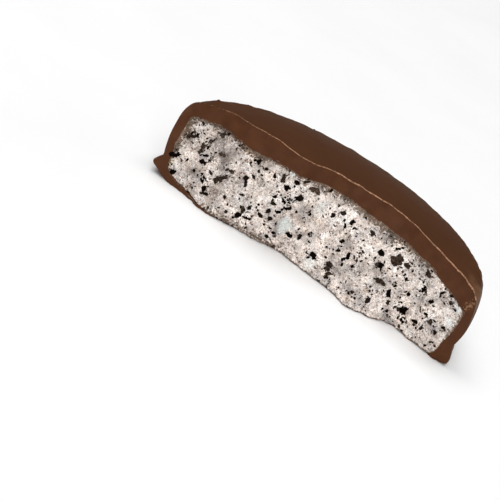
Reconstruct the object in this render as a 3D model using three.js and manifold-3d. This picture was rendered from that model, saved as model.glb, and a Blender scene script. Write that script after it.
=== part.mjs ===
// Half of a round ice cream sandwich: a disc of cookies-and-cream ice cream in a thick chocolate
// coating, broken in two across its middle.
//
// Millimetres, +Z up. X runs along the break, the whole rim curves away towards +Y, and the break
// faces -Y. The shapes are worked out about the middle of the whole disc, and the finished group
// is then moved so that its origin is the middle of the footprint, on the surface it rests on.

import * as THREE from 'three'
import { mergeVertices } from 'three/addons/utils/BufferGeometryUtils.js'
import Module from 'manifold-3d'

const wasm = await Module()
wasm.setup()

// The disc as a whole.
const WALL_RADIUS = 37.25
const WALL_WIDEST_HEIGHT = 8.8
const SHOULDER_RADIUS = 34.3
const SHOULDER_HEIGHT = 18.2
const SHOULDER_START = [36.75, 15.2]
const SHOULDER_CORNER = [36.25, 18]
const CROWN_RISE = 4.33
const ROUNDNESS_WANDER = 0.2
const BACK_FLATTENING = 0.45
const LEAN = 0.3
const LEAN_PIVOT_HEIGHT = 12.5
const LEAN_REACH = 4

// The foot, where the chocolate ran down and set around the base.
const REST_RADIUS = 33
const FOOT_RADIUS = 37.3
const FOOT_TIP_HEIGHT = 1.1
const NECK_RADIUS = 36.6
const NECK_HEIGHT = 4.6
const FOOT_LIFT_LEFT = 1.4
const FOOT_LIFT_RIGHT = 0.1
const FOOT_WANDER = 0.35

// The ice cream inside the coating, a little off centre.
const CORE_RADIUS = 35.2
const CORE_SHIFT = 0.1
const CORE_FOOT_RADIUS = 34.4
const BASE_COAT = 0.6
const CORE_ROUNDING = 1
const PIECE_GAP = 0.3

// The break. Each list gives a position along X and a value there, and is smooth in between.
const LOWER_EDGE = [
  [-38, 0], [-30, -0.6], [-21, -3.2], [-13, -1], [-4, 1.9], [2, 0.5],
  [9, -0.5], [14, -3], [18, -1], [24, 3], [29, 1.4], [38, 0.3],
]
const UPPER_EDGE = [
  [-38, 0.4], [-30, 3.8], [-20, 0.4], [-9, -3.5], [-1, 0], [4, 0.7],
  [11, 2.6], [16, 2.9], [22, 1.1], [30, -0.2], [38, -3.4],
]
const COAT_THICKNESS = [
  [-38, 3], [-26, 3.5], [-19, 4.8], [-13, 3.7], [-8, 3.8], [2, 3.1], [10, 3.9], [24, 3.8], [31, 4.8], [38, 5.1],
]
const BREAK_ROUGHNESS = 0.22

// Crumbs that stand out, from left to right: place along X, height, length, width, and turn from
// +X in degrees.
const LARGE_CRUMBS = [
  [-33.9, 5.9, 2.2, 1.5, 50], [-33.6, 10.8, 1.6, 0.9, 35], [-32.3, 2.6, 1.1, 1, 35],
  [-29.8, 9.5, 1.7, 1.2, 50], [-28.6, 12.3, 1.2, 0.9, 55], [-27.8, 7.8, 1.3, 1, 15],
  [-27.3, 14.7, 1.3, 1.2, 35], [-25.3, 5.4, 1.4, 1.3, 35], [-25.1, 11.7, 1.1, 0.6, 15],
  [-24.8, 7.4, 1.2, 0.5, 155], [-24.3, 3.9, 1.3, 1, 95], [-23, 3.7, 2.3, 0.8, 35],
  [-22.2, 8, 2.9, 1.3, 60], [-17.6, 9.9, 2, 1.4, 80], [-17, 15.4, 1.4, 0.9, 20],
  [-15.5, 3.2, 1.2, 0.9, 15], [-15.2, 4.7, 1.3, 0.9, 115], [-13.5, 3.4, 1.5, 0.7, 25],
  [-11.5, 5.7, 1.1, 0.8, 165], [-11, 15.9, 1.5, 0.9, 115], [-10.4, 7.5, 1, 0.7, 75],
  [-9.6, 14.6, 1.2, 0.9, 155], [-9.1, 11.7, 1.7, 1.4, 95], [-8.1, 16.8, 1, 0.8, 165],
  [-7.9, 9.8, 1.5, 1, 25], [-6.8, 17.8, 1.6, 0.7, 25], [-6.4, 13.7, 1.3, 1.2, 35],
  [-4.8, 17.2, 2.5, 1.3, 5], [2.5, 4.3, 1.3, 1, 155], [3, 15.6, 1, 0.8, 35],
  [4.5, 14, 1.6, 0.8, 95], [5.6, 15.1, 1.1, 0.7, 35], [6.3, 8.5, 1, 0.8, 35],
  [6.8, 3.9, 2.4, 1.8, 105], [8.6, 8.1, 1.7, 1.2, 85], [14.1, 12.9, 1.3, 1.1, 95],
  [15.1, 10.8, 1.2, 1, 165], [16.4, 8, 2.8, 1.1, 10], [16.7, 15.6, 1.6, 0.8, 15],
  [17.1, 3.1, 1.3, 0.6, 70], [18.5, 13.1, 3.4, 2.2, 20], [19.7, 6.3, 2, 1.3, 85],
  [22.2, 4.2, 1.1, 0.6, 45], [24.5, 4.7, 2, 1.9, 35], [24.8, 14.6, 1.3, 0.8, 155],
  [25.5, 11.8, 1.8, 1.6, 35], [27.4, 4.2, 1.1, 0.6, 5], [30.4, 6.5, 1.3, 0.9, 35],
]
const CRUMB_COUNT = 78
const CRUMB_SEED = 2026
const CRUMB_LENGTH_MIN = 0.75
const CRUMB_LENGTH_SPREAD = 1.15
const CRUMB_MARGIN = 0.5
const CRUMB_SUNK = 0.26
const CRUMB_JITTER = 0.24

// How finely the surfaces are divided.
const AROUND_STEPS = 92
const ACROSS_STEPS = 62
const UP_STEPS = 11

const CHOCOLATE = new THREE.MeshStandardMaterial({ color: 0x4f3526, roughness: 0.42, metalness: 0 })
const ICE_CREAM = new THREE.MeshStandardMaterial({ color: 0xd6cac2, roughness: 0.75, metalness: 0 })

// A repeatable draw from 0 up to 1.
let randomState = CRUMB_SEED
function draw() {
  randomState = (randomState * 1664525 + 1013904223) % 4294967296
  return randomState / 4294967296
}

// The value of a list of [place, value] at x, eased from one entry to the next.
function between(list, x) {
  let k = 1
  while (k < list.length - 1 && x > list[k][0]) {
    k += 1
  }
  const [x0, v0] = list[k - 1]
  const [x1, v1] = list[k]
  return v0 + (v1 - v0) * THREE.MathUtils.smoothstep(x, x0, x1)
}

// Height of the coating's top, r away from the middle of the disc.
function crownHeight(r) {
  return SHOULDER_HEIGHT + CROWN_RISE * (1 - (r / SHOULDER_RADIUS) ** 2)
}

// Y of the broken face, at x along the break and height z.
function breakDepth(x, z) {
  const rise = THREE.MathUtils.smoothstep(z, 1, crownHeight(Math.min(Math.abs(x), SHOULDER_RADIUS)))
  const lower = between(LOWER_EDGE, x)
  const upper = between(UPPER_EDGE, x)
  const rough = Math.sin(0.9 * x + 1.3 * z) + Math.sin(1.7 * x - 0.8 * z + 2) + Math.sin(1.1 * z + 0.3 * x)
  return lower + (upper - lower) * rise + BREAK_ROUGHNESS * rough / 2
}

// A slow waver around the rim, between about -1 and 1.
function rimWaver(angle) {
  return 0.5 * Math.sin(2 * angle + 0.7) + 0.3 * Math.sin(5 * angle + 2.1) + 0.2 * Math.sin(9 * angle + 4)
}

// How far the tip of the foot is lifted off the resting surface, around the rim.
function footLift(angle) {
  const leftShare = 0.5 - 0.5 * Math.cos(angle)
  const lift = FOOT_LIFT_RIGHT + (FOOT_LIFT_LEFT - FOOT_LIFT_RIGHT) * leftShare
  return Math.max(0, lift + FOOT_WANDER * rimWaver(2 * angle) * Math.sin(angle))
}

// The closed solid of a geometry whose shared corners are not yet merged.
function solidFrom(geometry) {
  geometry.deleteAttribute('normal')
  geometry.deleteAttribute('uv')
  const merged = mergeVertices(geometry, 1e-4)
  const corners = merged.index.array
  const triangles = []
  for (let i = 0; i < corners.length; i += 3) {
    const [a, b, c] = corners.slice(i, i + 3)
    // The rings that close on the axis leave flat triangles, which are skipped.
    if (a !== b && b !== c && c !== a) {
      triangles.push(a, b, c)
    }
  }
  return new wasm.Manifold(new wasm.Mesh({
    numProp: 3,
    vertProperties: merged.attributes.position.array,
    triVerts: new Uint32Array(triangles),
  }))
}

function meshFrom(solid, name, material) {
  const { vertProperties, triVerts } = solid.getMesh()
  const geometry = new THREE.BufferGeometry()
  geometry.setAttribute('position', new THREE.BufferAttribute(vertProperties, 3))
  geometry.setIndex(new THREE.BufferAttribute(triVerts, 1))
  geometry.computeVertexNormals()
  const mesh = new THREE.Mesh(geometry, material)
  mesh.name = name
  return mesh
}

// A round solid about the Z axis from its profile, with each point then moved by reshape.
function turnedSolid(profile, reshape) {
  const geometry = new THREE.LatheGeometry(profile, AROUND_STEPS)
  geometry.rotateX(Math.PI / 2)
  const position = geometry.attributes.position
  const point = new THREE.Vector3()
  for (let i = 0; i < position.count; i += 1) {
    point.fromBufferAttribute(position, i)
    reshape(point)
    position.setXYZ(i, point.x, point.y, point.z)
  }
  return solidFrom(geometry)
}

// Points of the crown from radius outer in to the axis, as profile points.
function crownPoints(outer, rings, height) {
  const points = []
  for (let k = 0; k <= rings; k += 1) {
    const r = outer * (1 - k / rings)
    points.push(new THREE.Vector2(r, height(r)))
  }
  return points
}

// The outside of the coating, from the middle of the base out round the foot and up to the crown.
function outsideProfile() {
  const foot = new THREE.QuadraticBezierCurve(
    new THREE.Vector2(REST_RADIUS + 2.6, 0),
    new THREE.Vector2(FOOT_RADIUS + 0.4, 0),
    new THREE.Vector2(FOOT_RADIUS, FOOT_TIP_HEIGHT),
  )
  const instep = new THREE.QuadraticBezierCurve(
    new THREE.Vector2(FOOT_RADIUS, FOOT_TIP_HEIGHT),
    new THREE.Vector2(NECK_RADIUS, 0.7 * NECK_HEIGHT),
    new THREE.Vector2(NECK_RADIUS, NECK_HEIGHT),
  )
  const shoulderStart = new THREE.Vector2(...SHOULDER_START)
  // The wall's curve comes within about 0.2 of the middle two of these points.
  const wall = new THREE.CubicBezierCurve(
    new THREE.Vector2(NECK_RADIUS, NECK_HEIGHT),
    new THREE.Vector2(WALL_RADIUS + 0.2, WALL_WIDEST_HEIGHT - 2.4),
    new THREE.Vector2(WALL_RADIUS + 0.2, WALL_WIDEST_HEIGHT + 3),
    shoulderStart,
  )
  const shoulder = new THREE.QuadraticBezierCurve(
    shoulderStart,
    new THREE.Vector2(...SHOULDER_CORNER),
    new THREE.Vector2(SHOULDER_RADIUS, SHOULDER_HEIGHT),
  )
  return [
    new THREE.Vector2(0, 0),
    new THREE.Vector2(REST_RADIUS, 0),
    ...foot.getPoints(4),
    ...instep.getPoints(3).slice(1),
    ...wall.getPoints(4).slice(1),
    ...shoulder.getPoints(4).slice(1),
    ...crownPoints(SHOULDER_RADIUS, 5, crownHeight).slice(1),
  ]
}

function coatingOutside() {
  return turnedSolid(outsideProfile(), (point) => {
    const r = Math.hypot(point.x, point.y)
    if (r < REST_RADIUS) {
      return
    }
    const angle = Math.atan2(point.y, point.x)
    const outward = THREE.MathUtils.smoothstep(r, REST_RADIUS, WALL_RADIUS)
    const waver = ROUNDNESS_WANDER * rimWaver(angle) - BACK_FLATTENING * Math.sin(angle) ** 2
    const reach = 1 + waver * outward / r
    const towardsTip = Math.max(0, 1 - point.z / NECK_HEIGHT)
    const lean = LEAN * THREE.MathUtils.clamp((LEAN_PIVOT_HEIGHT - point.z) / LEAN_REACH, -1, 1)
    point.x = point.x * reach + lean * outward
    point.y *= reach
    point.z += footLift(angle) * THREE.MathUtils.clamp((r - REST_RADIUS) / 3, 0, 1) * towardsTip
  })
}

// The space inside the coating when inset is 0, or the ice cream in it, inset from it all round.
function coreSolid(inset) {
  const base = BASE_COAT + inset
  const radius = CORE_RADIUS - inset
  const footRadius = CORE_FOOT_RADIUS - inset
  const underCoat = (r) => crownHeight(r) - inset
  const profile = [
    new THREE.Vector2(0, base),
    new THREE.Vector2(footRadius - CORE_ROUNDING, base),
    new THREE.Vector2(footRadius - 0.3 * CORE_ROUNDING, base + 0.3 * CORE_ROUNDING),
    new THREE.Vector2(footRadius, base + CORE_ROUNDING),
    new THREE.Vector2(footRadius, NECK_HEIGHT),
    new THREE.Vector2(radius, WALL_WIDEST_HEIGHT),
    new THREE.Vector2(radius, underCoat(radius) - 0.7),
    ...crownPoints(radius - 0.7, 6, underCoat),
  ]
  return turnedSolid(profile, (point) => {
    point.x += CORE_SHIFT
    if (point.z > WALL_WIDEST_HEIGHT + 0.1) {
      point.z -= between(COAT_THICKNESS, point.x)
    }
  })
}

// Everything on the near side of the break.
function breakCutter() {
  const width = 2 * WALL_RADIUS + 8
  const depth = WALL_RADIUS + 12
  const height = SHOULDER_HEIGHT + CROWN_RISE + 4
  const geometry = new THREE.BoxGeometry(width, depth, height, ACROSS_STEPS, 1, UP_STEPS)
  geometry.translate(0, -depth / 2, height / 2 - 2)
  const position = geometry.attributes.position
  for (let i = 0; i < position.count; i += 1) {
    if (position.getY(i) > -1) {
      position.setY(i, breakDepth(position.getX(i), position.getZ(i)))
    }
  }
  return solidFrom(geometry)
}

// Whether a crumb of this size lies on the ice cream and clear of the crumbs placed before it.
function crumbFits(crumb, placed) {
  const [x, z, length] = crumb
  const clear = CRUMB_MARGIN + length / 2
  const top = crownHeight(Math.abs(x)) - between(COAT_THICKNESS, x)
  if (Math.abs(x) > CORE_FOOT_RADIUS - clear || z < BASE_COAT + clear || z > top - clear) {
    return false
  }
  return placed.every(([px, pz, plength]) => Math.hypot(x - px, z - pz) > (length + plength) / 2)
}

// The large crumbs, then smaller ones at drawn places, most of them near the smallest size.
function crumbList() {
  const placed = [...LARGE_CRUMBS]
  while (placed.length < CRUMB_COUNT) {
    const x = (2 * draw() - 1) * CORE_RADIUS
    const z = draw() * (SHOULDER_HEIGHT + CROWN_RISE)
    const length = CRUMB_LENGTH_MIN + CRUMB_LENGTH_SPREAD * draw() ** 2
    const width = length * (0.5 + 0.45 * draw())
    const turn = 180 * draw()
    if (crumbFits([x, z, length], placed)) {
      placed.push([x, z, length, width, turn])
    }
  }
  return placed
}

// One angular crumb, sunk into the broken face so that only its front stands proud.
function crumbSolid([x, z, length, width, turn]) {
  const thickness = Math.min(width, 1.3)
  const geometry = new THREE.IcosahedronGeometry(1, 0)
  geometry.deleteAttribute('normal')
  geometry.deleteAttribute('uv')
  const crumb = mergeVertices(geometry, 1e-4)
  const position = crumb.attributes.position
  for (let i = 0; i < position.count; i += 1) {
    const swell = 1 + CRUMB_JITTER * (2 * draw() - 1)
    position.setXYZ(i, position.getX(i) * swell, position.getY(i), position.getZ(i) * swell)
  }
  crumb.scale(length / 2, thickness / 2, width / 2)
  crumb.rotateY(THREE.MathUtils.degToRad(-turn))
  crumb.translate(x, breakDepth(x, z) + thickness * CRUMB_SUNK, z)
  return solidFrom(crumb)
}

const nearSide = breakCutter()
const wholeCore = coreSolid(PIECE_GAP)

function chocolateCoating() {
  const shell = coatingOutside().subtract(coreSolid(0))
  return meshFrom(shell.subtract(nearSide), 'chocolate_coating', CHOCOLATE)
}

function iceCream() {
  let filling = wholeCore.subtract(nearSide)
  for (const crumb of crumbList()) {
    filling = filling.add(crumbSolid(crumb).intersect(wholeCore))
  }
  return meshFrom(filling, 'ice_cream', ICE_CREAM)
}

const iceCreamSandwich = new THREE.Group()
iceCreamSandwich.name = 'ice_cream_sandwich'
iceCreamSandwich.add(chocolateCoating(), iceCream())

const box = new THREE.Box3().setFromObject(iceCreamSandwich)
const middle = box.getCenter(new THREE.Vector3())
iceCreamSandwich.position.set(-middle.x, -middle.y, -box.min.z)

export default iceCreamSandwich
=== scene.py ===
"""Half of a round ice cream sandwich: cookies-and-cream ice cream in a thick chocolate coat, broken
across the middle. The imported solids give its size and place. Each operator below models one piece,
or one group of like pieces, and gives it the finish of what it is made of."""

import math

import bpy
from mathutils import Matrix, Vector, kdtree, noise


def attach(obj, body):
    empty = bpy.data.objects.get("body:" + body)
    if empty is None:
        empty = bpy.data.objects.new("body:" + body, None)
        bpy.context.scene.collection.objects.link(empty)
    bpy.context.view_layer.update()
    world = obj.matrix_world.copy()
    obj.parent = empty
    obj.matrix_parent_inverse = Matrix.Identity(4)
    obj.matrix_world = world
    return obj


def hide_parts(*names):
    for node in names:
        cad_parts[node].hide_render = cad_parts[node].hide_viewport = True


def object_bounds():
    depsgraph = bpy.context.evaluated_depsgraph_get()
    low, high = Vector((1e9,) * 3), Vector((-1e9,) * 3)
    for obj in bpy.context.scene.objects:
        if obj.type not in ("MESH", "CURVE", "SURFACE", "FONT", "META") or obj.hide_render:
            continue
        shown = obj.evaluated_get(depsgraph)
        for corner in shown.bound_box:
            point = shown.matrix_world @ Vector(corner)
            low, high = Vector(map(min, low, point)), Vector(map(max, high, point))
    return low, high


bl_info = {
    "name": "Ice cream sandwich half",
    "version": (1, 0, 0),
    "blender": (4, 5, 0),
    "location": "3D View > Sidebar > Ice Cream Sandwich",
    "description": "Models the broken half of a chocolate-coated ice cream sandwich on its packed solids",
    "category": "Add Mesh",
}

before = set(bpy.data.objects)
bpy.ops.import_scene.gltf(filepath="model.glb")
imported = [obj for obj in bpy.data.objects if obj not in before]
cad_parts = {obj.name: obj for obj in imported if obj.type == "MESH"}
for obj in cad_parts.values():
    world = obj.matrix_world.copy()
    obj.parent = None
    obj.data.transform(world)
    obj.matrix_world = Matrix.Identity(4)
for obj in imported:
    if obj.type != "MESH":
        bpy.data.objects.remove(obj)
CAD_LOW, CAD_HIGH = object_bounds()

# Shapes are worked out in millimetres about the middle of the whole disc, which lies this far
# from the far corner of the coating's box.
MM = 0.001
BOX_CORNER_FROM_DISC = Vector((37.72, 36.77, 0)) * MM
DISC_PLACE = Vector((CAD_HIGH.x, CAD_HIGH.y, 0)) - BOX_CORNER_FROM_DISC

# How many steps a round body is spun in.
SPIN_STEPS = 96

# The coat's outside.
SHOULDER_RADIUS = 34.3
SHOULDER_HEIGHT = 18.2
CROWN_RISE = 4.33
WALL_RADIUS = 37.25
ROUNDNESS_WANDER = 0.2
BACK_FLATTENING = 0.45
LEAN = 0.3
LEAN_PIVOT_HEIGHT = 12.5
LEAN_REACH = 4
REST_RADIUS = 33
NECK_HEIGHT = 4.6
FOOT_LIFT_LEFT = 1.4
FOOT_LIFT_RIGHT = 0.1
FOOT_WANDER = 0.35
# The left side of the foot set as a blunt bead over a neck: how far out each swell is, its height, and
# how far up and down it reaches.
LEFT_BEAD = ((0.3, 3, 0.5), (-0.42, 4.1, 0.6), (-0.32, 5.1, 0.8))
# Drips that set as pimples on the shoulder: x, y, z and radius.
PIMPLES = ((-33.3, 9.7, 18.0, 0.45), (-29.2, 20, 17.55, 0.35), (-15.7, 31.7, 17.5, 0.45))
# A painted highlight on the shoulder: a paler, greyer spot painted into the chocolate where sheen shows.
# Its middle and radius, how far its edge wanders, and how much paler it makes the chocolate.
PAINTED_SHEEN_SPOT = (37, 0, 17)
PAINTED_SHEEN_RADIUS = 7.5
PAINTED_SHEEN_WANDER = 7
PAINTED_SHEEN_LIGHTENING = (2, 2.6, 3.4, 1)
CHOCOLATE_IOR = 1.46

# The ice cream inside it.
CORE_RADIUS = 35.2
CORE_SHIFT = 0.1
CORE_FOOT_RADIUS = 34.4
CORE_WIDEST_HEIGHT = 8.8
CORE_WALL_TOP = 12.5
BASE_COAT = 0.6

# The break. Each list gives a position along X and a value there, and is smooth in between.
LOWER_EDGE = (
    (-38, 0), (-30, -0.6), (-21, -3.2), (-13, -1), (-4, 1.9), (2, 0.5),
    (9, -0.5), (14, -3), (18, -1), (24, 3), (29, 1.4), (38, 0.3),
)
UPPER_EDGE = (
    (-38, 0.4), (-30, 3.8), (-20, 0.4), (-9, -3.5), (-1, 0), (4, 0.7),
    (11, 2.6), (16, 2.9), (22, 1.1), (30, -0.2), (38, -3.4),
)
COAT_THICKNESS = (
    (-38, 3), (-29, 3.6), (-25, 3.85), (-19, 4.95), (-13, 3.75), (-8, 3.8), (2, 3.35), (10, 4.1),
    (24, 3.8), (31, 4.8), (38, 5.1),
)
# The coat under the ice cream, which is thin where it broke.
BASE_THICKNESS = (
    (-35, 3.9), (-33.6, 2.9), (-32.3, 1.8), (-31, 1.35), (-29, 0.95), (-26.5, 0.55), (-24, 0.3),
    (-14, 0.2), (33.2, 0.2), (34.6, 1.6),
)
# Depths in the broken face: its waves, the ragged lowest millimetre, how much further back the thin
# coat under the ice cream broke off, and the pits in the ice cream, with how rare they are.
BREAK_ROUGHNESS = 0.22
RAGGED_FOOT_DEPTH = 0.45
BASE_COAT_SET_BACK = 0.8
PIT_DEPTH = 1.1
PIT_RARITY = 0.25
# How far the tool that makes the break reaches to the near side.
CUTTER_REACH = 50
# Edges of the coat that bend by more than this many degrees stay sharp.
SHARP_ANGLE = 38

# The thin lip on the top edge of the break, a tan bead whose colour is a painted highlight, the glint
# of the sharp broken edge: where it starts and ends along X, how far apart its points are, how far it
# runs down the right shoulder, and how thick it is along X, as a share of its radius.
LIP_LEFT = -33
LIP_RIGHT = 36
LIP_STEP = 0.1
LIP_DROP = 1.15
LIP_SHARE = (
    (-33, 0.35), (-26, 0.45), (-21, 0.5), (-13, 0.7), (-8, 0.5), (-4, 0.7), (-1, 1.2), (5, 1.2), (9, 0.75),
    (18, 0.6), (24, 0.9), (33, 1), (36, 0.9),
)
LIP_THINNEST = 0.2
# Chips of thin chocolate below its right end: their number and lengths, the place along X and height
# that they start from, how far left and down they run, how widely they scatter, and where they stop.
EDGE_CHIP_COUNT = 70
EDGE_CHIP_LENGTHS = (0.12, 0.36)
EDGE_CHIP_START = (36, 16.6)
EDGE_CHIP_RUN = (1.2, 2.9)
EDGE_CHIP_SCATTER = 0.9
EDGE_CHIP_LIMIT = 36.3

# Crumbs that stand out, from left to right: place along X, height, length, width, turn from +X in
# degrees, and paleness, from 0 for nearly black to 1 for grey-brown.
LARGE_CRUMBS = (
    (-33.6, 5.9, 1.9, 1.5, 50, 0), (-33.6, 10.8, 1.6, 0.9, 35, 0.4), (-32.3, 2.6, 1.1, 1, 35, 0),
    (-29.8, 9.5, 1.7, 1.2, 50, 0.7), (-28.6, 12.3, 1.2, 0.9, 55, 0.6), (-27.8, 7.8, 1.3, 1, 15, 0),
    (-27.3, 14.7, 1.3, 1.2, 35, 0.6), (-25.3, 5.4, 1.4, 1.3, 35, 0), (-25.1, 11.7, 1.1, 0.6, 15, 0.7),
    (-24.8, 7.4, 1.2, 0.5, 155, 0.4), (-24.3, 3.9, 1.3, 1, 95, 0), (-23, 3.7, 2.3, 0.8, 35, 0.1),
    (-22.2, 8, 2.9, 1.3, 60, 0.5), (-17.6, 9.9, 2, 1.4, 80, 0.1), (-17, 15.4, 1.4, 0.9, 20, 0),
    (-15.5, 3.2, 1.2, 0.9, 15, 0), (-15.2, 4.7, 1.3, 0.9, 115, 0.6), (-13.5, 3.4, 1.5, 0.7, 25, 0.1),
    (-11.5, 5.7, 1.1, 0.8, 165, 0.1), (-11, 15.9, 1.5, 0.9, 115, 0.4), (-10.4, 7.5, 1, 0.7, 75, 0.2),
    (-9.6, 14.6, 1.2, 0.9, 155, 0), (-9.1, 11.7, 1.7, 1.4, 95, 0), (-8.1, 16.8, 1, 0.8, 165, 0),
    (-7.9, 9.8, 1.5, 1, 25, 0), (-6.8, 17.8, 1.6, 0.7, 25, 0.3), (-6.4, 13.7, 1.3, 1.2, 35, 0.1),
    (-4.8, 17.2, 2.5, 1.3, 5, 0.9), (2.5, 4.3, 1.3, 1, 155, 0), (3, 15.6, 1, 0.8, 35, 0.3),
    (4.5, 14, 1.6, 0.8, 95, 0), (5.6, 15.1, 1.1, 0.7, 35, 0), (6.3, 8.5, 1, 0.8, 35, 0),
    (6.8, 3.9, 2.4, 1.8, 105, 0.4), (8.6, 8.1, 1.7, 1.2, 85, 0), (14.1, 12.9, 1.3, 1.1, 95, 0),
    (15.1, 10.8, 1.2, 1, 165, 0), (16.4, 8, 2.8, 1.1, 10, 0.5), (16.7, 15.6, 1.6, 0.8, 15, 0.1),
    (17.1, 3.1, 1.3, 0.6, 70, 0.2), (18.5, 13.1, 3.6, 2.6, 20, 0.6), (19.7, 6.3, 2, 1.3, 85, 0),
    (22.2, 4.2, 1.1, 0.6, 45, 0.2), (24.5, 4.7, 2, 1.9, 35, 0), (24.8, 14.6, 1.3, 0.8, 155, 0.4),
    (25.5, 11.8, 1.8, 1.6, 35, 0), (27.4, 4.2, 1.1, 0.6, 5, 0), (28.2, 10.1, 0.9, 0.6, 40, 0),
    (28.5, 7.3, 0.8, 0.7, 0, 0), (29.2, 13.4, 1.1, 0.4, 45, 0), (29.3, 3.7, 0.7, 0.5, 30, 0.2),
    (30.4, 6.5, 1.3, 0.9, 35, 0.6), (31.2, 14, 0.9, 0.5, 20, 0.2), (32.3, 5, 0.9, 0.6, 120, 0.1),
    (32.6, 2.6, 0.7, 0.5, 60, 0.1), (33.3, 12, 0.8, 0.4, 0, 0), (33.3, 7.1, 1, 0.6, 20, 0),
)
# The number of all crumbs, and the seeds of their places and of all shapes.
CRUMB_COUNT = 98
CRUMB_SEED = 5459
SHAPE_SEED = 2026
# How long a drawn crumb is, and how far it stays from the edge of the ice cream.
CRUMB_LENGTH_MIN = 0.5
CRUMB_LENGTH_SPREAD = 0.7
CRUMB_MARGIN = 0.5
# How deep a crumb sits, as a share of its thickness, and how thick it is at most.
CRUMB_SUNK = 0.26
CRUMB_THICKNESS_MAX = 1.3
# The ice cream tore away around the crumbs, so they stand out by this much more. A crumb is drawn this
# much larger than its length and width, because it is sunk and its sides are broken off.
CRUMB_LIFT = 0.12
CRUMB_SHOWN = 1.54
# From this length on, a crumb is a clump of chips. A model is copied many times.
CLUMP_LENGTH = 1.4
CLUMP_CHIPS = 3
CHIP_MODELS = 10
CLUMP_MODELS = 4
GRAIN_MODELS = 6
# A chip's flat sides, and how uneven it is in coarse and in fine lumps.
CHIP_CUTS = 8
CHIP_UNEVENNESS = (0.34, 0.3)
# Specks: where they lie along X and up, their lengths, exponents that make most of them short and
# dark, and the share of them that lies around crumbs.
SPECKS_ACROSS = (-34.6, 34.8)
SPECKS_UP = (0.3, 19)
SPECK_LENGTH_MIN = 0.2
SPECK_LENGTH_SPREAD = 1.05
SPECK_SHORTNESS = 4.5
SPECK_DARKNESS = 2.4
SPECKS_NEAR_CRUMBS = 0.25

# Pale lumps of clear ice in the ice cream: place along X, height, radius, and how much it shows.
ICY_LUMPS = (
    (-6.2, 6.1, 2.1, 1), (2.6, 2.4, 1.8, 0.6), (33.7, 12.6, 1, 0.6), (33.6, 8.8, 1.6, 0.6),
    (-9.7, 17.8, 1, 0.6), (-1.5, 13.4, 2.2, 0.5),
)

# Chocolate and crumb dust smeared over the ice cream along the coat. Each list gives a position
# along X, and how far the smear reaches there from the coat over or under the ice cream.
SMEAR_UNDER_TOP = (
    (-36, 1), (-28, 1), (-22, 1.4), (-16, 1.4), (-12, 0.8), (-6, 0.8), (-2, 1.6), (10, 1.8),
    (22, 1.6), (28, 0.35), (36, 0.3),
)
SMEAR_OVER_BASE = (
    (-34, 0.7), (-25, 0.4), (-19, 2), (-8, 2), (-3, 0.3), (18, 0.4), (28, 0.6), (36, 0.6),
)
SMEAR_LEFT = 2
SMEAR_RIGHT = 1
# How strong it is at most by the left wall, by the right wall, under the top and over the base.
SMEAR_MOST = (1, 1, 1, 0.75)
# A yellow stain on the left wall: its place along X and height, and how far it reaches along each.
STAIN_SPOT = (-33.9, 4)
STAIN_REACH = (0.6, 1.2)

# How much fine cookie dust is in the ice cream, by position along X, partly painted shade: the higher
# values on the left paint the shade that falls on that side of the break. Then how much more there is
# in the upper left corner, which is painted shade, and around pale crumbs, and how much it drifts.
DUST_AND_PAINTED_SHADE = ((-36, 0.5), (-24, 0.52), (-16, 0.46), (-6, 0.18), (12, 0.1), (22, 0.26), (32, 0.15), (36, 0))
PAINTED_SHADE_IN_CORNER = 0.3
DUST_NEAR_CRUMBS = 0.3
DUST_DRIFT = 0.5


def linear(hex_text):
    """The linear colour, with an alpha of 1, of an sRGB hex value such as "4f3526"."""
    channels = [int(hex_text[k:k + 2], 16) / 255 for k in (0, 2, 4)]
    return (*(c / 12.92 if c <= 0.04045 else ((c + 0.055) / 1.055) ** 2.4 for c in channels), 1.0)


def colour_setting(name, description, hex_text):
    """A colour that a user can change, given as an sRGB hex value at first."""
    return bpy.props.FloatVectorProperty(
        name=name, description=description, subtype="COLOR", size=4, min=0, max=1, default=linear(hex_text),
    )


# ---------------------------------------------------------------------------------------------
# Sizes and colours that a user would change.


class CoatSettings(bpy.types.PropertyGroup):
    """The chocolate coat and its broken edge"""

    outside: colour_setting("Outside", "Colour of the coat where it set smooth", "4c2e1b")
    broken: colour_setting("Broken", "Colour of the coat where it snapped", "52301c")
    # Its tan is a painted highlight: the glint along the sharp top edge of the break.
    thin_edge_with_painted_glint: colour_setting("Thin edge", "Colour of the thin lip along the top of the break", "a57959")
    lip_radius: bpy.props.FloatProperty(
        name="Lip radius", description="Radius of the thin lip along the top of the break",
        subtype="DISTANCE", unit="LENGTH", default=0.15 * MM,
    )


class IceCreamSettings(bpy.types.PropertyGroup):
    """The ice cream filling"""

    cream: colour_setting("Cream", "Main colour of the ice cream", "f8ece4")
    relief: bpy.props.FloatProperty(
        name="Relief", description="Depth of the torn, icy surface of the break",
        subtype="DISTANCE", unit="LENGTH", default=0.22 * MM,
    )


class CrumbSettings(bpy.types.PropertyGroup):
    """The cookie crumbs in the broken face"""

    dark: colour_setting("Dark", "Colour of a clean cookie crumb", "0c0603")
    pale: colour_setting("Pale", "Colour of a crumb that is veiled with cream", "52443a")
    speck_count: bpy.props.IntProperty(
        name="Specks", description="Number of fine crumbs", min=0, max=4000, default=3100,
    )


class SandwichSettings(bpy.types.PropertyGroup):
    """All settings of the ice cream sandwich"""

    coat: bpy.props.PointerProperty(type=CoatSettings)
    ice_cream: bpy.props.PointerProperty(type=IceCreamSettings)
    crumbs: bpy.props.PointerProperty(type=CrumbSettings)


# ---------------------------------------------------------------------------------------------
# The disc's shapes, in millimetres.


class Draws:
    """Repeatable random numbers from 0 up to 1."""

    def __init__(self, seed):
        self.state = seed

    def next(self):
        self.state = (self.state * 1664525 + 1013904223) % 4294967296
        return self.state / 4294967296

    def between(self, low, high):
        return low + (high - low) * self.next()


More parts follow.
